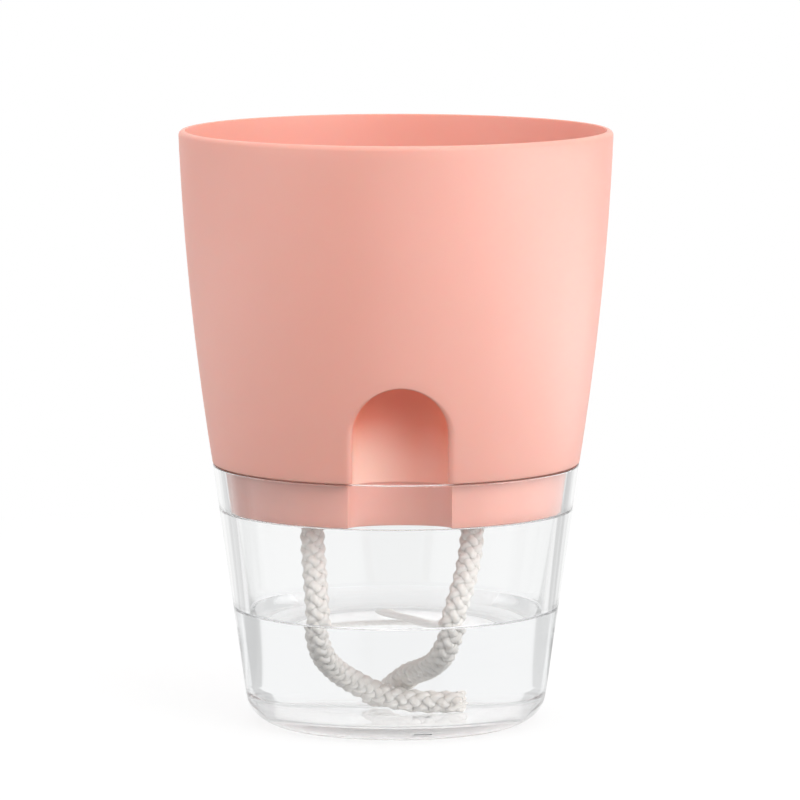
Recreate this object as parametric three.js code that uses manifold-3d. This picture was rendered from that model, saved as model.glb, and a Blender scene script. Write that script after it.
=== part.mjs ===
// Self-watering pot: a tapered planter with a filling niche stands in a clear reservoir, and a rope wick
// hangs from the planter's floor into the water.
// Millimetres, +Z up, the niche faces -Y, the origin is on the ground under the middle of the reservoir.
import * as THREE from 'three';
import { mergeVertices } from 'three/addons/utils/BufferGeometryUtils.js';
import Module from 'manifold-3d';

// Reservoir
const reservoirHeight = 78.5;
const reservoirRimRadius = 55.1;
const reservoirBaseRadius = 44.1; // the outer side carried straight down to the ground
const baseCornerRound = 9.6;
const reservoirWall = 4.6; // below the ledge, measured level
const reservoirFloor = 5.4;
const floorCornerRound = 4.5;
const collarWall = 3.1; // above the ledge, measured level
const collarRound = 0.4;
const footRingWidth = 4;
const footRecess = 0.6;
const gateDiameter = 4.4; // the moulding's gate, a low pip in the recess
const gateHeight = 0.4;
const gateX = 5.8;
const gateY = -10;

// Planter
const shadowGap = 0.2; // open joint between the reservoir's rim and the planter's shoulder
const skirtDepth = 13.7; // the skirt below the shoulder, down to its seat on the ledge
const skirtClearance = 0.4; // between the skirt and the collar
const bodyHeight = 99.8; // shoulder to rim
const planterRimRadius = 65;
const sideBulge = 1.5; // how far the side stands out from a straight taper at half height
const planterWall = 2;
const planterFloor = 2.2;
const lipRound = 1.5; // outer edge of the rim
const lipInnerRound = 0.3;

// Filling niche in the front of the planter
const nicheHalfWidth = 14;
const nicheBackRadius = 40; // from the planter's axis to the niche's back
const nicheBackDepth = 9; // depth of the rounded back, from its deepest line to the straight sides
const nicheRise = 14.75; // shoulder to the springing of the arch
const nicheStep = 0.8; // the niche is wider and deeper by this in the skirt
const nicheStepDrop = 0.9; // shoulder down to that step
const nicheWall = 2;

// Holes in the planter's floor
const wickHoleX = 23.2; // half the distance between the two wick holes
const wickHoleY = -28;
const wickHoleClearance = 2;
const drainHoleDiameter = 5;
const drainHoleCount = 6;
const drainRingRadius = 17;

// Wick
const wickDiameter = 7;
const wickSides = 10;
const wickSteps = 44;

// Facets of the round forms
const roundFacets = 72;
const cornerFacets = 6;
const edgeFacets = 3;
const sideFacets = 8;
const nicheFacets = 32;
const holeFacets = 24;
const cutOvershoot = 5; // how far a cutting solid runs past what it cuts

// Heights and radii that follow from the sizes above
const taper = (reservoirRimRadius - reservoirBaseRadius) / reservoirHeight;
const taperAngle = Math.atan(taper);
const shoulderZ = reservoirHeight + shadowGap;
const seatZ = shoulderZ - skirtDepth;
const planterTop = shoulderZ + bodyHeight;
const floorTop = seatZ + planterFloor;
const shoulderTop = shoulderZ + planterWall;
const springingZ = shoulderZ + nicheRise;
const stepZ = shoulderZ - nicheStepDrop;

const taperedRadius = (z) => reservoirBaseRadius + taper * z;
const collarInner = (z) => taperedRadius(z) - collarWall;
const basinInner = (z) => taperedRadius(z) - reservoirWall;
const skirtOuter = (z) => collarInner(z) - skirtClearance;
const skirtInner = (z) => skirtOuter(z) - planterWall;

function planterSide(z) {
  const shoulderRadius = taperedRadius(shoulderZ);
  const share = (z - shoulderZ) / bodyHeight;
  return shoulderRadius + (planterRimRadius - shoulderRadius) * share + sideBulge * 4 * share * (1 - share);
}

// The rope's middle line in the order in which it runs: one tail from its cut end up through the left hole,
// over the planter's floor, and down through the right hole to the other cut end.
const wickRoute = [
  [15, -3, 9], [8, -1.8, 9.1], [1.5, -2.2, 10], [-4.6, -4.8, 12.3], [-10.2, -9.8, 15.9],
  [-15.6, -17, 20.2], [-20, -25, 25.4], [-22.6, -31, 32.4], [-23.4, -32.8, 41], [-24.1, -31.2, 50],
  [-24.7, -29.2, 58], [-24.9, -28, 66], [-24.9, -28, 71], [-23.7, -28, 76.8], [-20.4, -28, 81.7],
  [-15.4, -28, 85], [-8.8, -28, 86.2], [-1.7, -28, 86.3], [5.4, -28, 86.2], [12, -28, 85],
  [17, -28, 81.7], [20.3, -28, 76.8], [21.5, -28, 71], [21.5, -28, 66], [21.1, -29.2, 58],
  [19.6, -31.6, 50], [17.4, -33.4, 42.6], [15.4, -33.3, 35.8], [13.4, -30.8, 29.9], [11.4, -25.8, 25.3],
  [9.2, -19, 22.4], [6.6, -11, 20.1], [3.4, -2.4, 17.9], [1.1, 4.6, 14.9], [-0.6, 11, 11.7],
  [-2, 16.8, 9.4], [-3.2, 22, 9],
];

const wasm = await Module();
wasm.setup();

// Turns a closed geometry into a solid that can be joined and cut.
function toSolid(geometry) {
  const bare = geometry.clone();
  bare.deleteAttribute('normal');
  bare.deleteAttribute('uv');
  const merged = mergeVertices(bare);
  const corners = merged.index.array;
  const kept = [];
  for (let i = 0; i < corners.length; i += 3) {
    const [a, b, c] = corners.slice(i, i + 3);
    if (a !== b && b !== c && c !== a) kept.push(a, b, c);
  }
  return new wasm.Manifold(new wasm.Mesh({
    numProp: 3,
    vertProperties: new Float32Array(merged.attributes.position.array),
    triVerts: new Uint32Array(kept),
  }));
}

function toMesh(name, solid, material) {
  const { vertProperties, triVerts } = solid.getMesh();
  const geometry = new THREE.BufferGeometry();
  geometry.setAttribute('position', new THREE.BufferAttribute(vertProperties, 3));
  geometry.setIndex(new THREE.BufferAttribute(triVerts, 1));
  geometry.computeVertexNormals();
  const mesh = new THREE.Mesh(geometry, material);
  mesh.name = name;
  return mesh;
}

// A profile is a list of [radius, z] points that starts and ends on the axis, up the outside and down the inside.
function turned(profile) {
  const points = profile.map(([radius, z]) => new THREE.Vector2(radius, z));
  return toSolid(new THREE.LatheGeometry(points, roundFacets).rotateX(Math.PI / 2));
}

function arc(radius, z, round, from, to, facets) {
  return Array.from({ length: facets + 1 }, (_, i) => {
    const angle = from + ((to - from) * i) / facets;
    return [radius + round * Math.cos(angle), z + round * Math.sin(angle)];
  });
}

const quarter = Math.PI / 2;

// A round solid that stands on end.
function upright(x, y, diameter, fromZ, toZ) {
  const round = new THREE.CylinderGeometry(diameter / 2, diameter / 2, toZ - fromZ, holeFacets)
    .rotateX(quarter)
    .translate(x, y, (fromZ + toZ) / 2);
  return toSolid(round);
}

function makeReservoir() {
  const cornerRadius = reservoirBaseRadius
    - (baseCornerRound * (1 - Math.sin(taperAngle))) / Math.cos(taperAngle);
  const footInner = cornerRadius - footRingWidth;
  const bowlZ = reservoirFloor + floorCornerRound;
  const bowlRadius = basinInner(bowlZ) - floorCornerRound / Math.cos(taperAngle);
  const roundZ = reservoirHeight - collarRound;
  const vessel = turned([
    [0, footRecess],
    [footInner, footRecess],
    [footInner, 0],
    ...arc(cornerRadius, baseCornerRound, baseCornerRound, -quarter, -taperAngle, cornerFacets),
    ...arc(taperedRadius(roundZ) - collarRound, roundZ, collarRound, 0, quarter, edgeFacets),
    ...arc(collarInner(roundZ) + collarRound, roundZ, collarRound, quarter, 2 * quarter, edgeFacets),
    [collarInner(seatZ), seatZ],
    [basinInner(seatZ), seatZ],
    ...arc(bowlRadius, bowlZ, floorCornerRound, -taperAngle, -quarter, cornerFacets),
    [0, reservoirFloor],
  ]);
  const gateTop = reservoirFloor / 2; // inside the floor
  const gateBottom = footRecess - gateHeight;
  return vessel.add(upright(gateX, gateY, gateDiameter, gateBottom, gateTop));
}

function sidePoints(fromZ, toZ, inset) {
  return Array.from({ length: sideFacets + 1 }, (_, i) => {
    const z = fromZ + ((toZ - fromZ) * i) / sideFacets;
    return [planterSide(z) - inset, z];
  });
}

function makePlanterBody() {
  const roundZ = planterTop - lipRound;
  return turned([
    [0, seatZ],
    [skirtOuter(seatZ), seatZ],
    [skirtOuter(shoulderZ), shoulderZ],
    ...sidePoints(shoulderZ, roundZ, 0),
    ...arc(planterSide(roundZ) - lipRound, roundZ, lipRound, 0, quarter, edgeFacets),
    [0, planterTop],
  ]);
}

function makePlanterHollow() {
  const roundZ = planterTop - lipInnerRound;
  const mouthRadius = planterSide(roundZ) - planterWall + lipInnerRound;
  return turned([
    [0, floorTop],
    [skirtInner(floorTop), floorTop],
    [skirtInner(shoulderTop), shoulderTop],
    ...sidePoints(shoulderTop, roundZ, planterWall),
    ...arc(mouthRadius, roundZ, lipInnerRound, 2 * quarter, quarter, edgeFacets),
    [mouthRadius, planterTop + cutOvershoot],
    [0, planterTop + cutOvershoot],
  ]);
}

// The niche seen from above, carried from one height to another: straight sides and an elliptic back.
function nichePrism(grow, fromZ, toZ) {
  const halfWidth = nicheHalfWidth + grow;
  const backAxis = -(nicheBackRadius + nicheBackDepth);
  const reach = -(planterRimRadius + cutOvershoot);
  const plan = new THREE.Shape();
  plan.moveTo(halfWidth, reach);
  plan.lineTo(halfWidth, backAxis);
  plan.absellipse(0, backAxis, halfWidth, nicheBackDepth + grow, 0, Math.PI, false);
  plan.lineTo(-halfWidth, reach);
  plan.closePath();
  const options = { depth: toZ - fromZ, bevelEnabled: false, curveSegments: nicheFacets / 4 };
  return toSolid(new THREE.ExtrudeGeometry(plan, options).translate(0, 0, fromZ));
}

// The arched top: a dome over the rounded back, and a level barrel from there out through the side.
function nicheArch(grow) {
  const halfWidth = nicheHalfWidth + grow;
  const backAxis = nicheBackRadius + nicheBackDepth;
  const barrelLength = planterRimRadius + cutOvershoot - backAxis;
  const dome = new THREE.SphereGeometry(1, nicheFacets, nicheFacets / 2)
    .scale(halfWidth, nicheBackDepth + grow, halfWidth)
    .translate(0, -backAxis, springingZ);
  const barrel = new THREE.CylinderGeometry(halfWidth, halfWidth, barrelLength, nicheFacets)
    .translate(0, -backAxis - barrelLength / 2, springingZ);
  return toSolid(dome).add(toSolid(barrel));
}

function makeNiche() {
  return nicheArch(0)
    .add(nichePrism(0, seatZ, springingZ))
    .add(nichePrism(nicheStep, seatZ - cutOvershoot, stepZ));
}

function makeNicheHousing() {
  return nicheArch(nicheWall)
    .add(nichePrism(nicheWall, shoulderZ, springingZ))
    .add(nichePrism(nicheWall + nicheStep, seatZ, shoulderTop));
}

function floorHole(x, y, diameter) {
  return upright(x, y, diameter, seatZ - cutOvershoot, floorTop + cutOvershoot);
}

function makePlanter() {
  const body = makePlanterBody();
  const wickHole = wickDiameter + 2 * wickHoleClearance;
  let planter = body
    .subtract(makePlanterHollow())
    .add(makeNicheHousing().intersect(body))
    .subtract(makeNiche())
    .subtract(floorHole(-wickHoleX, wickHoleY, wickHole))
    .subtract(floorHole(wickHoleX, wickHoleY, wickHole));
  for (let i = 0; i < drainHoleCount; i += 1) {
    const angle = (2 * Math.PI * i) / drainHoleCount;
    const x = drainRingRadius * Math.cos(angle);
    const y = drainRingRadius * Math.sin(angle);
    planter = planter.subtract(floorHole(x, y, drainHoleDiameter));
  }
  return planter;
}

function makeWick() {
  const section = new THREE.Shape(Array.from({ length: wickSides }, (_, i) => {
    const angle = (2 * Math.PI * i) / wickSides;
    return new THREE.Vector2(Math.cos(angle), Math.sin(angle)).multiplyScalar(wickDiameter / 2);
  }));
  const extrudePath = new THREE.CatmullRomCurve3(wickRoute.map((point) => new THREE.Vector3(...point)));
  return toSolid(new THREE.ExtrudeGeometry(section, { steps: wickSteps, bevelEnabled: false, extrudePath }));
}

const pinkPlastic = new THREE.MeshStandardMaterial({ color: 0xeeb3a6, roughness: 0.55, metalness: 0 });
const clearPlastic = new THREE.MeshStandardMaterial({
  color: 0xe9eff0, roughness: 0.05, metalness: 0, transparent: true, opacity: 0.35,
});
const cottonRope = new THREE.MeshStandardMaterial({ color: 0xe9e2d6, roughness: 0.95, metalness: 0 });

const pot = new THREE.Group();
pot.name = 'self_watering_pot';
pot.add(toMesh('reservoir', makeReservoir(), clearPlastic));
pot.add(toMesh('planter', makePlanter(), pinkPlastic));
pot.add(toMesh('wick', makeWick(), cottonRope));

export default pot;
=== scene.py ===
import math

import bmesh
import bpy
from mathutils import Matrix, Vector


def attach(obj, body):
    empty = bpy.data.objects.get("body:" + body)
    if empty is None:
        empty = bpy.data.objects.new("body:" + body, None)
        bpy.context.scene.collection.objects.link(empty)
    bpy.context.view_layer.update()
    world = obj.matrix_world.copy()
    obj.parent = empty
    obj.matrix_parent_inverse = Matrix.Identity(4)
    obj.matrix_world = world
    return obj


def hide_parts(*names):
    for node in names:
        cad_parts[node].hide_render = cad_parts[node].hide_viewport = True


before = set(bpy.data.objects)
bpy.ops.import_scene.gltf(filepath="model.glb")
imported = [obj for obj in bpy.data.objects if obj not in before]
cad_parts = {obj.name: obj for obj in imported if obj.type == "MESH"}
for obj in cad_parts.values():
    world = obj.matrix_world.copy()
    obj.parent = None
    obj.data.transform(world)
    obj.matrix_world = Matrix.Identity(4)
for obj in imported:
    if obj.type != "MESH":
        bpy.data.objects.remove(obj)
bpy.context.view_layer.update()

mm = 0.001
weldGap = 0.002 * mm
cutGap = 0.0001 * mm
levelSlack = 0.01  # millimetres within which points count as level
falling = (1.0, 0.0)
white = (1, 1, 1, 1)
scene = bpy.context.scene
scene.view_settings.view_transform = "Standard"
scene.cycles.glossy_bounces = 16  # thick clear walls reflect many times
scene.cycles.max_bounces = 24


def inMetres(sizes):
    return [size * mm for size in sizes]


# the shader helpers

class Wire:  # a shader value that can be reckoned with
    def __init__(self, finish, socket):
        self.finish = finish
        self.socket = socket

    def reckon(self, operation, first, second):
        made = self.finish.node("ShaderNodeMath", {"operation": operation}, {0: first, 1: second})
        return self.finish.wire(made, 0)

    def __add__(self, other):
        return self.reckon("ADD", self, other)

    def __sub__(self, other):
        return self.reckon("SUBTRACT", self, other)

    def __rsub__(self, other):
        return self.reckon("SUBTRACT", other, self)

    def __mul__(self, other):
        return self.reckon("MULTIPLY", self, other)

    def __gt__(self, other):
        return self.reckon("GREATER_THAN", self, other)

    def __lt__(self, other):
        return self.reckon("LESS_THAN", self, other)

    __radd__ = __add__
    __rmul__ = __mul__


class Finish:  # one node tree under construction
    def __init__(self, tree):
        self.tree = tree
        tree.nodes.clear()

    def node(self, kind, settings=None, inputs=None):
        made = self.tree.nodes.new(kind)
        for key, value in (settings or {}).items():
            if key == "stops":
                ramp = made.color_ramp
                while len(ramp.elements) < len(value):
                    ramp.elements.new(0.5)
                for element, (place, colour) in zip(ramp.elements, value):
                    element.position = place
                    element.color = colour
            else:
                setattr(made, key, value)
        for key, value in (inputs or {}).items():
            if isinstance(value, Wire):
                self.tree.links.new(value.socket, made.inputs[key])
            else:
                made.inputs[key].default_value = value
        return made

    def wire(self, made, key):
        return Wire(self, made.outputs[key])

    def place(self):
        return self.wire(self.node("ShaderNodeTexCoord"), "Object")

    def axes(self):
        parts = self.node("ShaderNodeSeparateXYZ", {}, {0: self.place()})
        return [self.wire(parts, axis) for axis in "XYZ"]

    def reach(self, vector):
        return self.wire(self.node("ShaderNodeVectorMath", {"operation": "LENGTH"}, {0: vector}), "Value")

    def path(self, key):
        return self.wire(self.node("ShaderNodeLightPath"), key)

    def noise(self, scale, detail=3.0, rough=0.5):
        inputs = {"Vector": self.place(), "Scale": scale, "Detail": detail, "Roughness": rough}
        return self.wire(self.node("ShaderNodeTexNoise", {"noise_dimensions": "3D"}, inputs), "Fac")

    def blend(self, share, first, second):
        inputs = {0: share, 6: first, 7: second}
        return self.wire(self.node("ShaderNodeMix", {"data_type": "RGBA"}, inputs), 2)

    def ramp(self, share, stops):
        return self.wire(self.node("ShaderNodeValToRGB", {"stops": stops}, {"Fac": share}), "Color")

    def span(self, value, between, to=(0.0, 1.0)):  # carries one range over to another
        inputs = {"Value": value, "From Min": between[0], "From Max": between[1]}
        inputs |= {"To Min": to[0], "To Max": to[1]}
        return self.wire(self.node("ShaderNodeMapRange", {"clamp": True}, inputs), 0)

    def bump(self, height, strength, distance):
        inputs = {"Height": height, "Strength": strength, "Distance": distance}
        return self.wire(self.node("ShaderNodeBump", {}, inputs), "Normal")

    def shader(self, kind, inputs):
        return self.wire(self.node(kind, {}, inputs), 0)

    def close(self, surface, kind="ShaderNodeOutputMaterial"):
        self.node(kind, {}, {"Surface": surface})


def newFinish(name):
    material = bpy.data.materials.new(name)
    material.use_nodes = True
    return material, Finish(material.node_tree)


# the camera stands where the photograph was taken from

cameraSet = {
    "distance": 1.777,
    "elevation": 7.0,
    "azimuth": -1.4,
    "aimHeight": 97.1 * mm,
    "aimAside": 1.2 * mm,
    "lens": 266.3,
    "sensor": 36.0,
}


def makeCamera():
    turn = math.radians(cameraSet["azimuth"])
    tilt = math.radians(cameraSet["elevation"])
    right = Vector((math.cos(turn), math.sin(turn), 0))
    back = Vector((math.sin(turn) * math.cos(tilt), -math.cos(turn) * math.cos(tilt), math.sin(tilt)))
    aim = right * cameraSet["aimAside"] + Vector((0, 0, cameraSet["aimHeight"]))
    data = bpy.data.cameras.new("photoCamera")
    data.lens = cameraSet["lens"]
    data.sensor_width = cameraSet["sensor"]
    camera = bpy.data.objects.new("photoCamera", data)
    scene.collection.objects.link(camera)
    camera.location = aim + back * cameraSet["distance"]
    camera.rotation_euler = back.to_track_quat("Z", "Y").to_euler()
    scene.camera = camera
    print("camera placed")


makeCamera()


# mesh helpers

def finishPiece(bm, name, finishes, body, node, sharp):  # sharp: degrees from which an edge is crisp
    openEdges = sum(1 for edge in bm.edges if not edge.is_manifold)
    for face in bm.faces:
        face.smooth = True
    for edge in bm.edges:
        edge.smooth = edge.calc_face_angle(0) < math.radians(sharp)
    mesh = bpy.data.meshes.new(name)
    bm.to_mesh(mesh)
    bm.free()
    for material in finishes:
        mesh.materials.append(material)
    piece = bpy.data.objects.new(name, mesh)
    scene.collection.objects.link(piece)
    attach(piece, body)
    if node:
        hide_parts(node)
    print(name, "made,", len(mesh.polygons), "faces,", openEdges, "open edges")
    return piece


def faceOutwards(bm):
    bmesh.ops.recalc_face_normals(bm, faces=bm.faces[:])
    if bm.calc_volume(signed=True) < 0:
        bmesh.ops.reverse_faces(bm, faces=bm.faces[:])


def profileWire(bm, corners):  # corners: radius, height, round and its segments, in millimetres
    verts = [bm.verts.new((corner[0] * mm, 0, corner[1] * mm)) for corner in corners]
    for first, second in zip(verts, verts[1:]):
        bm.edges.new((first, second))
    for index in range(1, len(corners) - 1):
        if corners[index][2]:
            roundCorner(bm, verts[index], corners[index - 1:index + 2])


def roundCorner(bm, vert, three):
    before, here, after = (Vector(corner[:2]) for corner in three)
    half = (before - here).angle(after - here) / 2
    bmesh.ops.bevel(
        bm, geom=[vert], offset=three[1][2] * mm / math.tan(half), offset_type="OFFSET",
        segments=three[1][3], profile=0.5, affect="VERTICES", clamp_overlap=False, material=-1)


def turnProfile(bm, steps):
    bmesh.ops.spin(
        bm, geom=bm.verts[:] + bm.edges[:], cent=(0, 0, 0), axis=(0, 0, 1),
        angle=math.tau, steps=steps, use_merge=True)
    bmesh.ops.remove_doubles(bm, verts=bm.verts[:], dist=weldGap)
    bmesh.ops.dissolve_degenerate(bm, edges=bm.edges[:], dist=weldGap)
    faceOutwards(bm)


def extrudeRow(bm, verts, edges):  # the new points come in the order of the old
    made = bmesh.ops.extrude_edge_only(bm, edges=edges)["geom"]
    fresh = {item for item in made if isinstance(item, bmesh.types.BMVert)}
    return [next(e.other_vert(v) for e in v.link_edges if e.other_vert(v) in fresh) for v in verts]


def turnsOf(sides):  # even turns around a circle
    return [math.tau * k / sides for k in range(sides)]


def circleAt(bm, centre, radius, segments):  # the edges of a level ring, in millimetres
    verts = bmesh.ops.create_circle(bm, cap_ends=False, radius=radius * mm, segments=segments)["verts"]
    bmesh.ops.translate(bm, verts=verts, vec=Vector(centre) * mm)
    return list({edge for vert in verts for edge in vert.link_edges})


# what the reservoir, the water and the planter share, with sizes in millimetres as in the part's source

vessel = {
    "height": 78.5,
    "rimRadius": 55.1,
    "baseRadius": 44.1,
    "wall": 4.6,
    "floor": 5.4,
    "floorRound": 4.5,
    "floorSegments": 18,
    "collarWall": 3.1,
    "ledge": 65.0,
    "waterLevel": 34.5,
    "meniscus": 1.1,
    "steps": 192,
    "sharp": 60,
    "plasticBends": 1.5,  # how strongly light is bent
    "waterBends": 1.333,
}


def outerRadius(z):
    return vessel["baseRadius"] + (vessel["rimRadius"] - vessel["baseRadius"]) * z / vessel["height"]


def basinRadius(z):
    return outerRadius(z) - vessel["wall"]


def collarRadius(z):
    return outerRadius(z) - vessel["collarWall"]


# the wick: a braided cotton rope along the route of the part's source

wickSet = {
    "diameter": 7.0 * mm,
    "carriers": 4,  # strands that wind each way
    "strandRadius": 1.36 * mm,
    "strandFlat": 0.8,
    "lay": 15.0 * mm,  # along the rope, for one turn of a strand
    "layRadius": 2.2 * mm,
    "weave": 0.36 * mm,  # how far a strand goes over and under
    "coreRadius": 2.0 * mm,
    "step": 0.62 * mm,
    "curveSteps": 24,
    "strandSides": 8,
    "coreSides": 10,
    "sharp": 70,
    "route": [  # in millimetres
        (15, -3, 9), (8, -1.8, 9.1), (1.5, -2.2, 10), (-4.6, -4.8, 12.3), (-10.2, -9.8, 15.9),
        (-15.6, -17, 20.2), (-20, -25, 25.4), (-22.6, -31, 32.4), (-23.4, -32.8, 41), (-24.1, -31.2, 50),
        (-24.7, -29.2, 58), (-24.9, -28, 66), (-24.9, -28, 71), (-23.7, -28, 76.8), (-20.4, -28, 81.7),
        (-15.4, -28, 85), (-8.8, -28, 86.2), (-1.7, -28, 86.3), (5.4, -28, 86.2), (12, -28, 85),
        (17, -28, 81.7), (20.3, -28, 76.8), (21.5, -28, 71), (21.5, -28, 66), (21.1, -29.2, 58),
        (19.6, -31.6, 50), (17.4, -33.4, 42.6), (15.4, -33.3, 35.8), (13.4, -30.8, 29.9),
        (11.4, -25.8, 25.3), (9.2, -19, 22.4), (6.6, -11, 20.1), (3.4, -2.4, 17.9), (1.1, 4.6, 14.9),
        (-0.6, 11, 11.7), (-2, 16.8, 9.4), (-3.2, 22, 9),
    ],
    "yarnPitch": 1.5 * mm,
    "yarnSlant": 3.0,
    "fibre": {"scale": 5200, "detail": 2.0, "rough": 0.7},
    "lump": {"scale": 420, "detail": 2.0},
    "toneShares": (0.45, 0.4, 0.35),  # of twist, fibre and lump; twist and fibre follow the relief, darker where it is low, as painted shade, and lump is random tone
    "toneSpan": (0.2, 0.95),
    # the colour where the tone is low, in the painted shade of the grooves, and where it is high, on the
    # yarns' tops
    "shade": (0.84, 0.795, 0.745, 1),
    "light": (0.9, 0.872, 0.835, 1),
    "reliefShares": (0.6, 0.5),  # of twist and fibre
    "relief": (0.55, 0.12 * mm),
    "surface": {
        "Roughness": 0.92, "Sheen Weight": 0.15,
        "Subsurface Weight": 0.5, "Subsurface Radius": (1, 0.95, 0.9), "Subsurface Scale": 0.9 * mm,
    },
}


def smoothRoute(points, step):  # centripetal curve through the points, at even steps
    ends = [points[0] * 2 - points[1]] + points + [points[-1] * 2 - points[-2]]
    line = []
    for p0, p1, p2, p3 in zip(ends, ends[1:], ends[2:], ends[3:]):
        t1, t2, t3 = (math.sqrt((b - a).length) for a, b in ((p0, p1), (p1, p2), (p2, p3)))
        m1 = ((p1 - p0) / t1 - (p2 - p0) / (t1 + t2) + (p2 - p1) / t2) * t2
        m2 = ((p2 - p1) / t2 - (p3 - p1) / (t2 + t3) + (p3 - p2) / t3) * t2
        for k in range(wickSet["curveSteps"]):
            t = k / wickSet["curveSteps"]
            line.append(
                p1 * (2 * t ** 3 - 3 * t ** 2 + 1) + m1 * (t ** 3 - 2 * t ** 2 + t)
                + p2 * (3 * t ** 2 - 2 * t ** 3) + m2 * (t ** 3 - t ** 2))
    line.append(points[-1])
    lengths = [0.0]
    for first, second in zip(line, line[1:]):
        lengths.append(lengths[-1] + (second - first).length)
    count = round(lengths[-1] / step)
    even, index = [], 0
    for k in range(count + 1):
        goal = lengths[-1] * k / count
        while index < len(line) - 2 and lengths[index + 1] < goal:
            index += 1
        share = (goal - lengths[index]) / (lengths[index + 1] - lengths[index])
        even.append(line[index].lerp(line[index + 1], share))
    return even


def routeFrames(line):  # each point with two directions across the line, carried on without twist
    frames = []
    across = Vector((0, 0, 1))
    for k, point in enumerate(line):
        along = (line[min(k + 1, len(line) - 1)] - line[max(k - 1, 0)]).normalized()
        across = (across - along * across.dot(along)).normalized()
        frames.append((point, across.copy(), along.cross(across)))
    return frames


def ringEdges(bm, verts):
    return [bm.edges.get((a, b)) for a, b in zip(verts, verts[1:] + verts[:1])]


def tubeThrough(rings):  # rings: lists of places, each extruded from the one before
    bm = bmesh.new()
    along = bm.verts.layers.float.new("along")
    around = bm.verts.layers.float.new("around")
    verts = bmesh.ops.create_circle(bm, cap_ends=True, radius=mm, segments=len(rings[0]))["verts"]
    for number, ring in enumerate(rings):
        if number:
            verts = extrudeRow(bm, verts, ringEdges(bm, verts))
        for index, (vert, spot) in enumerate(zip(verts, ring)):
            vert.co = spot
            vert[along] = number / (len(rings) - 1)
            vert[around] = index / len(ring)
    bmesh.ops.contextual_create(bm, geom=ringEdges(bm, verts))
    bmesh.ops.recalc_face_normals(bm, faces=bm.faces[:])
    return bm


def coreRings(frames):
    turns = turnsOf(wickSet["coreSides"])
    return [[point + (u * math.cos(t) + v * math.sin(t)) * wickSet["coreRadius"] for t in turns]
            for point, u, v in frames]


def strandRings(frames, length, way, carrier):  # way: 1 or -1, the hand that the strand winds in
    s = wickSet
    centres = []
    for k, (point, u, v) in enumerate(frames):
        wind = math.tau * length * k / (len(frames) - 1) / s["lay"]
        angle = math.tau * carrier / s["carriers"] + way * wind
        reach = s["layRadius"] + way * s["weave"] * math.cos(s["carriers"] * wind)
        outward = u * math.cos(angle) + v * math.sin(angle)
        centres.append((point + outward * reach, outward))
    turns = turnsOf(s["strandSides"])
    rings = []
    for k, (centre, outward) in enumerate(centres):
        ahead = centres[min(k + 1, len(centres) - 1)][0] - centres[max(k - 1, 0)][0]
        thick = outward * s["strandRadius"] * s["strandFlat"]
        wide = ahead.cross(outward).normalized() * s["strandRadius"]
        rings.append([centre - thick * math.cos(t) + wide * math.sin(t) for t in turns])
    return rings


def makeWick():
    line = smoothRoute([Vector(point) * mm for point in wickSet["route"]], wickSet["step"])
    frames = routeFrames(line)
    length = sum((b - a).length for a, b in zip(line, line[1:]))
    carriers = range(wickSet["carriers"])
    tubes = [coreRings(frames)]
    tubes += [strandRings(frames, length, way, carrier) for way in (1, -1) for carrier in carriers]
    rope = bmesh.new()
    holder = bpy.data.meshes.new("wickStrand")
    for rings in tubes:
        tube = tubeThrough(rings)
        tube.to_mesh(holder)
        tube.free()
        rope.from_mesh(holder)
    bpy.data.meshes.remove(holder)
    looks = [cottonFinish(length)]
    piece = finishPiece(rope, "cottonWick", looks, "planter", "wick", wickSet["sharp"])
    print("wick length", round(length / mm, 1), "mm")


def cottonFinish(length):
    s = wickSet
    material, f = newFinish("cotton")
    along, around = (
        f.wire(f.node("ShaderNodeAttribute", {"attribute_name": name}), "Fac")
        for name in ("along", "around"))
    yarns = along * (length / s["yarnPitch"]) + around * s["yarnSlant"]
    twist = f.wire(f.node("ShaderNodeMath", {"operation": "PINGPONG"}, {0: yarns, 1: 0.5}), 0) * 2.0
    fibre = f.noise(**s["fibre"])
    lump = f.noise(**s["lump"])
    byTwist, byFibre, byLump = s["toneShares"]
    # painted shade in the grooves, where the relief is low, mixed with random tone
    tone = f.span(twist * byTwist + fibre * byFibre + lump * byLump, s["toneSpan"])
    byTwist, byFibre = s["reliefShares"]
    height = twist * byTwist + fibre * byFibre
    f.close(f.shader("ShaderNodeBsdfPrincipled", {
        **s["surface"], "Base Color": f.blend(tone, s["shade"], s["light"]),
        "Normal": f.bump(height, *s["relief"])}))
    return material


makeWick()


# the reservoir: a clear moulding with a ledge inside and a foot ring below

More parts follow.
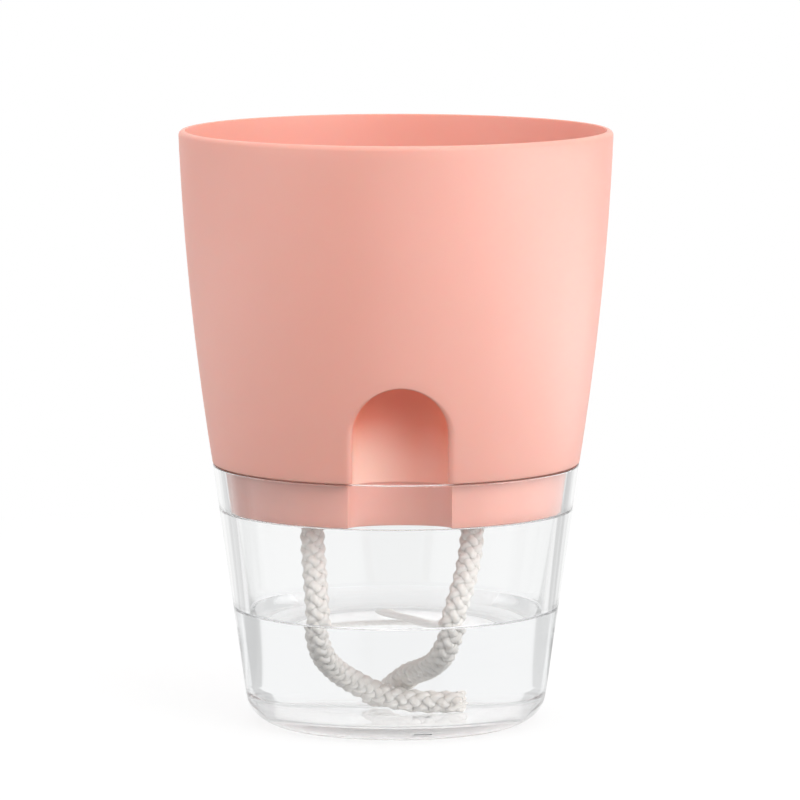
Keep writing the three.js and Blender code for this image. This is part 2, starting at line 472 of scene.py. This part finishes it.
reservoirSet = {  # sizes in millimetres
    "footInner": 31.8,
    "recess": 0.6,
    "baseRound": 9.6,
    "baseSegments": 16,
    "rimRound": 0.4,
    "rimSegments": 5,
    "edgeRound": 0.35,
    "edgeSegments": 3,
    "ledgeSegments": 4,
    "flatFrom": 1.0,  # a profile line longer than this is held flat up to its rounds
    "flatHold": 0.12,
    "longFrom": 8.0,  # and one longer than this is cut up
    "longCuts": 7,
    "gate": (5.8, -10.0),
    "gateRadius": 2.2,
    "gateEdge": 0.8,
    "gateHeight": 0.4,
    "gateSegments": 40,
    "recessMargin": 1.0,
    "wetBelow": 0.5,  # how far past the basin's own lines a face still counts as inside
    "wetBeyond": 0.8,
    "underHeight": 1.0,
    "underFacing": -0.7,
    "gateBeyond": 0.1,
    "gateBelow": 0.05,
    "rimPaintedShadeBand": 0.2,  # the rim's top edge, painted shade: the dark gap under the planter's shoulder, tinted by the planter's pink, apart from the opening at the niche
    "rimLitOpening": 15.0,
    "finishes": {
        "clearPlastic": {
            "tint": (0.985, 0.99, 0.99, 1), "bends": vessel["plasticBends"], "frost": 0.0, "clear": 1.0},
        "clearPlasticWetted": {
            "tint": (0.97, 0.975, 0.98, 1), "bends": vessel["plasticBends"] / vessel["waterBends"],
            "frost": 0.0, "clear": 1.0},
        "clearPlasticUnderside": {
            "tint": (0.985, 0.99, 0.99, 1), "bends": vessel["plasticBends"], "frost": 0.9, "clear": 1.0},
        # painted shade: the gate pip's ring is dark grey and half opaque, for the dark edge that its clear
        # sides show
        "clearPlasticGatePaintedShade": {
            "tint": (0.3, 0.31, 0.32, 1), "bends": vessel["plasticBends"], "frost": 0.4, "clear": 0.2},
        # painted shade: the rim's dark reddish line where the planter's shoulder shades the gap
        "clearPlasticRimPaintedShade": {
            "tint": (0.36, 0.15, 0.11, 1), "bends": vessel["plasticBends"], "frost": 0.1, "clear": 0.4},
    },
    "haze": {"scale": 900, "between": (0.45, 0.8), "most": 0.02},
}


def makeReservoir():
    v, s = vessel, reservoirSet
    wetline = v["waterLevel"] + v["meniscus"]
    bm = bmesh.new()
    profileWire(bm, [
        (0, s["recess"], 0, 0),
        (s["footInner"], s["recess"], s["edgeRound"], s["edgeSegments"]),
        (s["footInner"], 0, s["edgeRound"], s["edgeSegments"]),
        (v["baseRadius"], 0, s["baseRound"], s["baseSegments"]),
        (v["rimRadius"], v["height"], s["rimRound"], s["rimSegments"]),
        (collarRadius(v["height"]), v["height"], s["rimRound"], s["rimSegments"]),
        (collarRadius(v["ledge"]), v["ledge"], s["edgeRound"], s["edgeSegments"]),
        (basinRadius(v["ledge"]), v["ledge"], s["edgeRound"], s["ledgeSegments"]),
        (basinRadius(v["floor"]), v["floor"], v["floorRound"], v["floorSegments"]),
        (0, v["floor"], 0, 0),
    ])
    holdFlats(bm)
    turnProfile(bm, v["steps"])
    addGate(bm)
    bmesh.ops.bisect_plane(
        bm, geom=bm.verts[:] + bm.edges[:] + bm.faces[:], dist=cutGap,
        plane_co=(0, 0, wetline * mm), plane_no=(0, 0, 1))
    for face in bm.faces:
        face.material_index = list(s["finishes"]).index(finishOf(face, wetline))
    looks = [clearFinish(name, haze=s["haze"], **look) for name, look in s["finishes"].items()]
    piece = finishPiece(bm, "clearReservoir", looks, "reservoir", "reservoir", v["sharp"])
    piece.visible_shadow = False  # clear walls let the lamps through


def holdFlats(bm):
    s = reservoirSet
    for edge in [edge for edge in bm.edges if edge.calc_length() > s["flatFrom"] * mm]:
        near = s["flatHold"] * mm / edge.calc_length()
        bmesh.utils.edge_split(edge, edge.verts[0], near)
        bmesh.utils.edge_split(edge, edge.verts[1], near / (1 - near))
    long = [edge for edge in bm.edges if edge.calc_length() > s["longFrom"] * mm]
    bmesh.ops.subdivide_edges(bm, edges=long, cuts=s["longCuts"])


def addGate(bm):  # a low pip in the recess under the floor
    s = reservoirSet
    within = (s["footInner"] - s["recessMargin"]) * mm
    under = [f for f in bm.faces if all(v.co.z < (s["recess"] + levelSlack) * mm for v in f.verts)
             and f.calc_center_median().xy.length < within]
    edges = {e for f in under for e in f.edges}
    outline = [e for e in edges if any(f not in under for f in e.link_faces)]
    middle = {v for f in under for v in f.verts} - {v for e in outline for v in e.verts}
    bmesh.ops.delete(bm, geom=list(middle), context="VERTS")
    ring = circleAt(bm, (*s["gate"], s["recess"]), s["gateRadius"], s["gateSegments"])
    bmesh.ops.triangle_fill(bm, edges=outline + ring, use_beauty=True, use_dissolve=False)
    made = bmesh.ops.extrude_edge_only(bm, edges=ring)["geom"]
    low = [item for item in made if isinstance(item, bmesh.types.BMVert)]
    bmesh.ops.translate(bm, verts=low, vec=(0, 0, -s["gateHeight"] * mm))
    sides = [item for item in made if isinstance(item, bmesh.types.BMEdge)]
    lowRing = [edge for edge in sides if all(vert in low for vert in edge.verts)]
    cap = bmesh.ops.contextual_create(bm, geom=lowRing)["faces"]
    bmesh.ops.inset_region(bm, faces=cap, thickness=s["gateEdge"] * mm)
    faceOutwards(bm)


def finishOf(face, wetline):
    v, s = vessel, reservoirSet
    x, y, z = face.calc_center_median() / mm
    # the rim's top edge is painted shade, apart from the opening at the niche
    if z > v["height"] - s["rimPaintedShadeBand"] and (y > 0 or abs(x) > s["rimLitOpening"]):
        return "clearPlasticRimPaintedShade"
    fromGate = math.dist((x, y), s["gate"])
    # the gate pip's ring, painted dark as shade
    if s["gateEdge"] < fromGate < s["gateRadius"] + s["gateBeyond"] and z < s["recess"] - s["gateBelow"]:
        return "clearPlasticGatePaintedShade"
    if z < s["underHeight"] and face.normal.z < s["underFacing"]:
        return "clearPlasticUnderside"
    inside = z > v["floor"] - s["wetBelow"] and math.hypot(x, y) < basinRadius(z) + s["wetBeyond"]
    return "clearPlasticWetted" if inside and z < wetline else "clearPlastic"


def clearFinish(name, tint, bends, frost, clear, haze):
    material, f = newFinish(name)
    roughness = f.span(f.noise(haze["scale"]), haze["between"], (frost, frost + haze["most"]))
    f.close(f.shader("ShaderNodeBsdfPrincipled", {
        "Base Color": tint, "Roughness": roughness, "IOR": bends, "Transmission Weight": clear}))
    return material


makeReservoir()


# the water in the reservoir, with its edge drawn up the wall

waterSet = {  # sizes in millimetres
    "gap": 0.03,
    "edgeRound": 1.5,
    "edgeSegments": 8,
    "topFacing": 0.05,
    "tint": (0.99, 0.995, 1, 1),
    "haze": {"scale": 300, "between": (0.5, 0.8), "most": 0.01},
}


def makeWater():
    v, w = vessel, waterSet
    level = v["waterLevel"]
    top = level + v["meniscus"]
    bm = bmesh.new()
    profileWire(bm, [
        (0, level, 0, 0),
        (basinRadius(level) - w["gap"], level, w["edgeRound"], w["edgeSegments"]),
        (basinRadius(top) - w["gap"], top, 0, 0),
        (basinRadius(v["floor"]) - w["gap"], v["floor"] + w["gap"], v["floorRound"], v["floorSegments"]),
        (0, v["floor"] + w["gap"], 0, 0),
    ])
    turnProfile(bm, v["steps"])
    for face in bm.faces:
        face.material_index = 0 if face.normal.z > w["topFacing"] else 1
    surface = clearFinish(
        "waterSurface", tint=w["tint"], bends=v["waterBends"], frost=0.0, clear=1.0, haze=w["haze"])
    side, f = newFinish("waterSide")  # not seen, as the wetted wall itself bends the light there
    f.close(f.shader("ShaderNodeBsdfPrincipled", {"Base Color": white, "Alpha": 0.0}))
    looks = [surface, side]
    piece = finishPiece(bm, "reservoirWater", looks, "reservoir", None, v["sharp"])
    piece.visible_shadow = False


makeWater()


# the planter: a tapered moulding with an arched niche in front and a skirt that plugs into the reservoir

planterSet = {  # sizes in millimetres
    "skirtFoot": vessel["ledge"],
    "floorTop": 67.2,
    "shoulder": 78.7,
    "top": 178.5,
    "rimRadius": 65.0,
    "bulge": 1.5,
    "wall": 2.0,
    "skirtGap": 0.4,
    "lipRound": 1.5,
    "lipInnerRound": 0.3,
    "edgeRound": 0.5,
    "skirtRound": 0.3,
    "step": 77.8,
    "stepHeight": 0.02,
    "springing": 93.45,
    "archRise": 14.0,
    "nicheHalf": 14.0,
    "nicheMiddle": 49.0,
    "nicheDepth": 9.0,
    "nicheStep": 0.8,
    "nicheRound": 2.1,
    "archRound": 0.5,
    "innerRound": 0.8,
    "windowTop": 127.0,
    "columns": 144,
    "windowColumns": 22,
    "windowShares": (0.3, 0.56, 0.78, 0.92, 1.0),  # of the way from the window's outline to the niche
    "edgeRows": 3,
    "skirtRows": 4,
    "lowRows": 5,
    "lowInnerRows": 4,
    "windowRows": 10,
    "upperRows": 17,
    "roundRows": 6,
    "inwardRows": 3,
    "backRows": 12,
    "wickHoles": [(-23.2, -28.0), (23.2, -28.0)],
    "wickHoleRadius": 5.5,
    "drainHoles": 6,
    "drainRing": 17.0,
    "drainRadius": 2.5,
    "holeSegments": 32,
    "sharp": 35,
    "pinks": [(0.79, 0.383, 0.31, 1), (0.81, 0.397, 0.325, 1)],
    "cloud": {"scale": 28, "detail": 3.0},
    "grain": {"scale": 2600, "detail": 2.0, "rough": 0.6},
    "mottle": (0.3, 0.7),  # the range of the cloud and the grain that shows
    "roughness": (0.43, 0.51),
    "relief": (0.12, 0.03 * mm),
    "surface": {
        "IOR": 1.53,
        "Subsurface Weight": 0.35, "Subsurface Radius": (1, 0.25, 0.15), "Subsurface Scale": 5 * mm,
    },
    "nichePaintedReach": (50.0, 54.0),  # from the axis, where the niche's painted shade gives way to the side's pink
    "nichePaintedBehind": (0.4, 1.0),  # and behind the niche's back
    # painted shade: the niche is redder and deeper than the pink, deepest high under the arch
    "nicheRise": (84.0, 95.0),
    "nichePaintedShadeLow": (0.95, 0.45, 0.36, 1),
    "nichePaintedShadeHigh": (0.98, 0.35, 0.24, 1),
    # painted highlight: the niche's left cheek is paler where the key lamp meets it
    "cheekHighlightAcross": (-13.0, 5.0),
    "cheekHighlightRise": (86.0, 97.0),
    "cheekPaintedHighlight": (0.98, 0.6, 0.5, 1),
}


def sideRadius(z):
    p = planterSet
    share = (z - p["shoulder"]) / (p["top"] - p["shoulder"])
    low = outerRadius(p["shoulder"])
    return low + (p["rimRadius"] - low) * share + p["bulge"] * 4 * share * (1 - share)


def skirtRadius(z):
    return collarRadius(z) - planterSet["skirtGap"]


def stepped(first, last, count):
    return [first + (last - first) * k / count for k in range(1, count + 1)]


def sideHeights(low, lowRows, top):  # the heights of the rows up the side, with one at the springing
    p = planterSet
    heights = [low] + stepped(low, p["springing"], lowRows)
    heights += stepped(p["springing"], p["windowTop"], p["windowRows"])
    return heights + stepped(p["windowTop"], top, p["upperRows"])


def outerRows():  # radius, height, and how much wider the niche is there
    p = planterSet
    r = p["edgeRound"]
    foot, shoulder = p["skirtFoot"] + r, p["shoulder"] + r
    rounding = [(r * (1 - math.sin(a)), r * (1 - math.cos(a)))
                for a in [0] + stepped(0, math.pi / 2, p["edgeRows"])[:-1]]
    rows = [(skirtRadius(p["skirtFoot"]) - back, p["skirtFoot"] + up, p["nicheStep"] + back)
            for back, up in rounding]
    rows += [(skirtRadius(z), z, p["nicheStep"]) for z in [foot] + stepped(foot, p["step"], p["skirtRows"])]
    rows += [(skirtRadius(z), z, 0) for z in (p["step"] + p["stepHeight"], p["shoulder"])]
    rows += [(sideRadius(shoulder) - back, p["shoulder"] + up, 0) for back, up in rounding]
    rows += [(sideRadius(z), z, 0) for z in sideHeights(shoulder, p["lowRows"], p["top"] - p["lipRound"])]
    return rows + lipRows()


def lipRows():  # over the rim, down to the first row of the inner wall
    p = planterSet
    r, small = p["lipRound"], p["lipInnerRound"]
    base, innerBase = p["top"] - r, p["top"] - small
    outside, inside = sideRadius(base) - r, sideRadius(innerBase) - p["wall"] + small
    angles = stepped(0, math.pi / 2, p["roundRows"])
    rows = [(outside + r * math.cos(a), base + r * math.sin(a), 0) for a in angles]
    return rows + [(inside - small * math.cos(a), innerBase + small * math.sin(a), 0)
                   for a in reversed([0] + angles)]


def innerRows():
    p = planterSet
    inShoulder = p["shoulder"] + p["wall"]
    heights = sideHeights(inShoulder, p["lowInnerRows"], p["top"] - p["lipInnerRound"])
    rows = [(skirtRadius(z) - p["wall"], z, p["nicheStep"])
            for z in [p["floorTop"]] + stepped(p["floorTop"], inShoulder, p["skirtRows"])]
    return rows + [(sideRadius(z) - p["wall"], z, 0) for z in heights]


def spinWall(bm, rows):  # turns the rows into a wall and gives the set of its points
    wire = [bm.verts.new((0, row[0] * mm, row[1] * mm)) for row in rows]
    edges = [bm.edges.new(pair) for pair in zip(wire, wire[1:])]
    bmesh.ops.spin(
        bm, geom=wire + edges, cent=(0, 0, 0), axis=(0, 0, 1), angle=math.tau,
        steps=planterSet["columns"], use_merge=True)
    sheet = set(wire)
    grow = list(wire)
    while grow:
        for edge in grow.pop().link_edges:
            for vert in edge.verts:
                if vert not in sheet:
                    sheet.add(vert)
                    grow.append(vert)
    return sheet


def frontGrid(sheet, rows):  # the wall's points around the niche, by row and column
    turn = math.tau / planterSet["columns"]
    grid = {}
    for vert in sheet:
        x, y, z = vert.co / mm
        column = round(math.atan2(x, -y) / turn)
        if abs(column) <= planterSet["windowColumns"] // 2:
            misses = [abs(row[0] - math.hypot(x, y)) + abs(row[1] - z) for row in rows]
            grid[(misses.index(min(misses)), column)] = vert
    return grid


def rowAt(rows, height):
    misses = [abs(row[1] - height) for row in rows]
    return misses.index(min(misses))


def extrudeChain(bm, chain, spots):
    chain = extrudeRow(bm, chain, [bm.edges.get((a, b)) for a, b in zip(chain, chain[1:])])
    for vert, spot in zip(chain, spots):
        vert.co = Vector(spot) * mm
    return chain


def wallSheet(bm, rows, inset, edgeRound, archRound):  # a turned wall whose front runs into the niche
    p = planterSet
    half = p["windowColumns"] // 2
    grid = frontGrid(spinWall(bm, rows), rows)
    topRow, spring = rowAt(rows, p["windowTop"]), rowAt(rows, p["springing"])
    window = {vert for (row, column), vert in grid.items() if row <= topRow}
    faces = [f for f in {face for v in window for face in v.link_faces} if all(v in window for v in f.verts)]
    bmesh.ops.delete(bm, geom=faces, context="FACES")

    keys = [(row, -half) for row in range(topRow + 1)]  # up the left, over the top and down the right
    keys += [(topRow, column) for column in range(1 - half, half)]
    keys += [(row, half) for row in range(topRow, -1, -1)]
    chain = [grid[key] for key in keys]
    start = [v.co / mm for v in chain]
    last = len(keys) - 1
    archCount = last - 2 * spring

    def upright(k):  # on a straight side of the niche, not on its arch
        return k <= spring or k >= last - spring

    def rowBeside(k):
        return rows[min(k, last - k)]

    def station(k, out):  # the place in the front view, out from the edge of the niche
        if upright(k):
            radius, z, wider = rowBeside(k)
            reach = p["nicheHalf"] + wider + inset + out
            return (-reach if k <= spring else reach), z, radius
        angle = math.pi * (1 - (k - spring) / archCount)
        x = (p["nicheHalf"] + inset + out) * math.cos(angle)
        z = p["springing"] + (p["archRise"] + inset + out) * math.sin(angle)
        return x, z, sideRadius(z) - inset

    def roundAt(k):  # the edge of the niche is rounder at its sides than at its top
        if upright(k):
            return edgeRound if rowBeside(k)[1] > p["shoulder"] else min(edgeRound, p["skirtRound"])
        share = math.sin(math.pi * (k - spring) / archCount)
        return edgeRound + (archRound - edgeRound) * share * share * (3 - 2 * share)

    def onWall(x, z, radius):
        return Vector((x, -math.sqrt(radius * radius - x * x), z))

    for share in p["windowShares"]:  # from the window's outline to the edge of the niche
        spots = []
        for k in range(last + 1):
            x, z, radius = station(k, roundAt(k))
            x = start[k].x + (x - start[k].x) * share
            z = start[k].z + (z - start[k].z) * share
            spots.append(onWall(x, z, radius if upright(k) else sideRadius(z) - inset))
        chain = extrudeChain(bm, chain, spots)
    for angle in stepped(0, math.pi / 2, p["roundRows"]):  # round the edge
        spots = [onWall(*station(k, roundAt(k) * (1 - math.sin(angle)))) for k in range(last + 1)]
        for k, spot in enumerate(spots):
            spot.y += roundAt(k) * (1 - math.cos(angle))
        chain = extrudeChain(bm, chain, spots)
    edge = [v.co / mm for v in chain]
    turnIn = [max(c.y, -p["nicheMiddle"]) for c in edge]
    for share in stepped(0, 1, p["inwardRows"]):  # straight in
        spots = [(c.x, c.y + (y - c.y) * share, c.z) for c, y in zip(edge, turnIn)]
        chain = extrudeChain(bm, chain, spots)
    for angle in stepped(0, math.pi / 2, p["backRows"]):  # and round the back
        narrow, deep = math.cos(angle), math.sin(angle)
        spots = []
        for k, c in enumerate(edge):
            wider = rowBeside(k)[2] if upright(k) else 0
            low = min(c.z, p["springing"])
            back = p["nicheDepth"] + wider + inset - p["nicheMiddle"]
            spots.append((c.x * narrow, turnIn[k] + (back - turnIn[k]) * deep, low + (c.z - low) * narrow))
        chain = extrudeChain(bm, chain, spots)


def floorLevel(bm, height):  # fills a floor between its outline and its holes
    p = planterSet
    outline = [e for e in bm.edges if e.is_boundary
               and all(abs(v.co.z / mm - height) < levelSlack for v in e.verts)]
    holes = [(x, y, p["wickHoleRadius"]) for x, y in p["wickHoles"]]
    holes += [(p["drainRing"] * math.cos(turn), p["drainRing"] * math.sin(turn), p["drainRadius"])
              for turn in turnsOf(p["drainHoles"])]
    rims = [circleAt(bm, (x, y, height), radius, p["holeSegments"]) for x, y, radius in holes]
    bmesh.ops.triangle_fill(bm, edges=outline + sum(rims, []), use_beauty=True, use_dissolve=False)
    return rims


def makePlanter():
    p = planterSet
    bm = bmesh.new()
    wallSheet(bm, outerRows(), 0, p["nicheRound"], p["archRound"])
    wallSheet(bm, innerRows(), p["wall"], p["innerRound"], p["innerRound"])
    bmesh.ops.remove_doubles(bm, verts=bm.verts[:], dist=weldGap)
    under = floorLevel(bm, p["skirtFoot"])
    above = floorLevel(bm, p["floorTop"])
    for first, second in zip(under, above):
        bmesh.ops.bridge_loops(bm, edges=first + second)
    faceOutwards(bm)
    finishPiece(bm, "pinkPlanter", [pinkFinish()], "planter", "planter", p["sharp"])


def pinkFinish():
    p = planterSet
    material, f = newFinish("pinkPlastic")
    grain = f.noise(**p["grain"])
    colour = f.blend(f.span(f.noise(**p["cloud"]), p["mottle"]), *p["pinks"])
    f.close(f.shader("ShaderNodeBsdfPrincipled", {
        # the niche's painted shade and highlight lie over the mottled pink
        **p["surface"], "Base Color": f.blend(paintedNicheShare(f), colour, nichePaintedLight(f)),
        "Roughness": f.span(grain, p["mottle"], p["roughness"]), "Normal": f.bump(grain, *p["relief"])}))
    return material


def paintedNicheShare(f):  # where the niche's painted shade and highlight go: 1 inside the niche, above its step
    p = planterSet
    x, y, z = f.axes()
    fromAxis = f.reach(f.wire(f.node("ShaderNodeCombineXYZ", {}, {0: x, 1: y}), 0))
    back = p["nicheDepth"] - p["nicheMiddle"]
    ahead = f.span(y, inMetres(back + behind for behind in p["nichePaintedBehind"]), falling)
    return f.span(fromAxis, inMetres(p["nichePaintedReach"]), falling) * ahead * (z > p["step"] * mm)


def nichePaintedLight(f):  # painted shade, deeper under the arch, and a painted highlight, paler on the cheek that the key lamp meets
    p = planterSet
    x, _, z = f.axes()
    # painted shade, deeper under the arch
    deep = f.blend(f.span(z, inMetres(p["nicheRise"])), p["nichePaintedShadeLow"], p["nichePaintedShadeHigh"])
    # painted highlight on the left cheek
    cheekPaintedHighlight = f.span(x, inMetres(p["cheekHighlightAcross"]), falling) * f.span(z, inMetres(p["cheekHighlightRise"]), falling)
    return f.blend(cheekPaintedHighlight, deep, p["cheekPaintedHighlight"])


makePlanter()


# the studio, in metres

studioSet = {
    "floorRadius": 6.0,
    "floorSegments": 96,
    "under": (0.026, 0.033),  # from the axis, the edge of the paler floor under the pot
    "underTones": (0.85, 0.25),
    # the floor's glow, dimmer under the pot as seen through the clear walls: a painted shadow
    "near": (0.045, 0.075),
    "paintedShadowLifts": (0.58, 0.73),
    "whiteSeen": (0.14, 0.45),  # where the floor turns white to the camera
    "whiteThrough": (0.06, 0.095),  # and where it turns into the backdrop, as seen through the pot
    "skyBehind": 0.5,
    "skyAside": 0.35,
    "skySpan": (-0.35, 0.45),
    "skyTones": (0.05, 1.05),
    "around": [  # turn from straight behind in degrees, and the tone that is seen there through clear walls
        (-180, 0.6), (-162, 0.6), (-155, 0.86), (-125, 0.86), (-118, 0.96), (-77, 0.96),
        (-75, 0.62), (-58, 0.62), (-56, 0.96), (-50, 0.96), (-48, 0.7), (-34, 0.7), (-32, 0.96),
        (32, 0.96), (34, 0.62), (48, 0.62), (50, 0.96), (56, 0.96), (58, 0.86), (75, 0.86),
        (77, 0.96), (118, 0.96), (125, 0.86), (155, 0.86), (162, 0.6), (180, 0.6),
    ],
    "aim": (0, 0, 0.09),
    "lamps": {
        "keyRight": {"spot": (0.82, -1.1, 0.8), "size": 0.9, "power": 11.3, "matt": True},
        "sheenRight": {"spot": (1.02, -0.3, 0.004), "size": 1.42, "power": 32.0, "matt": False},
        "sheenFront": {"spot": (0.12, -0.52, 0.004), "size": 0.42, "power": 2.0, "matt": False},
        "fillRight": {"spot": (1.2, -0.45, 0.25), "size": 0.5, "power": 3.2, "matt": True},
        "sheenLeft": {"spot": (-1.05, -0.25, 0.004), "size": 1.4, "power": 13.0, "matt": False},
        "fillLeft": {"spot": (-1.1, -0.6, 0.32), "size": 1.0, "power": 3.8, "matt": True},
        "topSoft": {"spot": (0.1, -0.1, 1.4), "size": 0.9, "power": 1.6, "matt": True},
    },
}


def backdropSeen(f):  # 1 where the background itself is seen, straight or through clear walls or in a gloss
    kinds = f.path("Is Camera Ray") + f.path("Is Glossy Ray") + f.path("Is Transmission Ray")
    return (kinds > 0) * (f.path("Diffuse Depth") < 1)


def surroundings(f):  # white to the camera itself, with grey strips to all that is seen by way of the object
    x, y, _ = f.axes()
    turn = f.wire(f.node("ShaderNodeMath", {"operation": "ARCTAN2"}, {0: x, 1: y}), 0)
    stops = [(0.5 + degrees / 360, (tone, tone, tone, 1)) for degrees, tone in studioSet["around"]]
    strips = f.ramp(f.span(turn, (-math.pi, math.pi)), stops)
    return f.blend(f.path("Is Camera Ray"), strips, white)


def makeSky():
    s = studioSet
    world = bpy.data.worlds.new("whiteStudio")
    world.use_nodes = True
    scene.world = world
    f = Finish(world.node_tree)
    x, y, z = f.axes()
    aside = f.wire(f.node("ShaderNodeMath", {"operation": "ABSOLUTE"}, {0: x}), 0)
    rise = z + y * s["skyBehind"] + aside * s["skyAside"]
    light = f.span(rise, s["skySpan"], s["skyTones"])  # dim low in front, bright above and behind
    colour = f.blend(backdropSeen(f), light, surroundings(f))
    f.close(f.shader("ShaderNodeBackground", {"Color": colour, "Strength": 1.0}), "ShaderNodeOutputWorld")


def floorFinish():  # takes the pot's shadow, glows dimmer under the pot as a painted shadow seen through the clear walls, and turns into the backdrop further out
    s = studioSet
    material, f = newFinish("paleFloor")
    reach = f.reach(f.place())
    straight = f.path("Is Camera Ray")
    seen = backdropSeen(f)
    matt = f.shader("ShaderNodeBsdfDiffuse", {"Color": f.span(reach, s["under"], s["underTones"])})
    liftWithPaintedShadow = f.span(reach + straight, s["near"], s["paintedShadowLifts"]) * seen  # to the camera, the outer lift; seen through the clear walls, dimmer under the pot as a painted shadow
    lift = f.shader("ShaderNodeEmission", {"Color": liftWithPaintedShadow, "Strength": 1.0})
    near = f.wire(f.node("ShaderNodeAddShader", {}, {0: matt, 1: lift}), 0)
    far = f.shader("ShaderNodeEmission", {"Color": surroundings(f), "Strength": 1.0})
    share = f.span(reach, s["whiteSeen"]) * straight + f.span(reach, s["whiteThrough"]) * (1 - straight)
    f.close(f.wire(f.node("ShaderNodeMixShader", {}, {0: share * seen, 1: near, 2: far}), 0))
    return material


def makeFloor():
    bm = bmesh.new()
    bmesh.ops.create_circle(
        bm, cap_ends=True, radius=studioSet["floorRadius"], segments=studioSet["floorSegments"])
    mesh = bpy.data.meshes.new("studioFloor")
    bm.to_mesh(mesh)
    bm.free()
    mesh.materials.append(floorFinish())
    floor = bpy.data.objects.new("studioFloor", mesh)
    scene.collection.objects.link(floor)


def makeLamps():
    for name, lamp in studioSet["lamps"].items():
        data = bpy.data.lights.new(name, "AREA")
        data.shape = "SQUARE"
        data.size = lamp["size"]
        data.energy = lamp["power"]
        light = bpy.data.objects.new(name, data)
        light.location = lamp["spot"]
        back = Vector(lamp["spot"]) - Vector(studioSet["aim"]) if lamp["matt"] else Vector((0, 0, -1))
        light.rotation_euler = back.to_track_quat("Z", "Y").to_euler()
        light.visible_diffuse = lamp["matt"]  # a lamp that is not matt shines up and only shows as a sheen
        light.visible_transmission = False
        light.visible_camera = False
        scene.collection.objects.link(light)


makeSky()
makeFloor()
makeLamps()
print("studio lit")
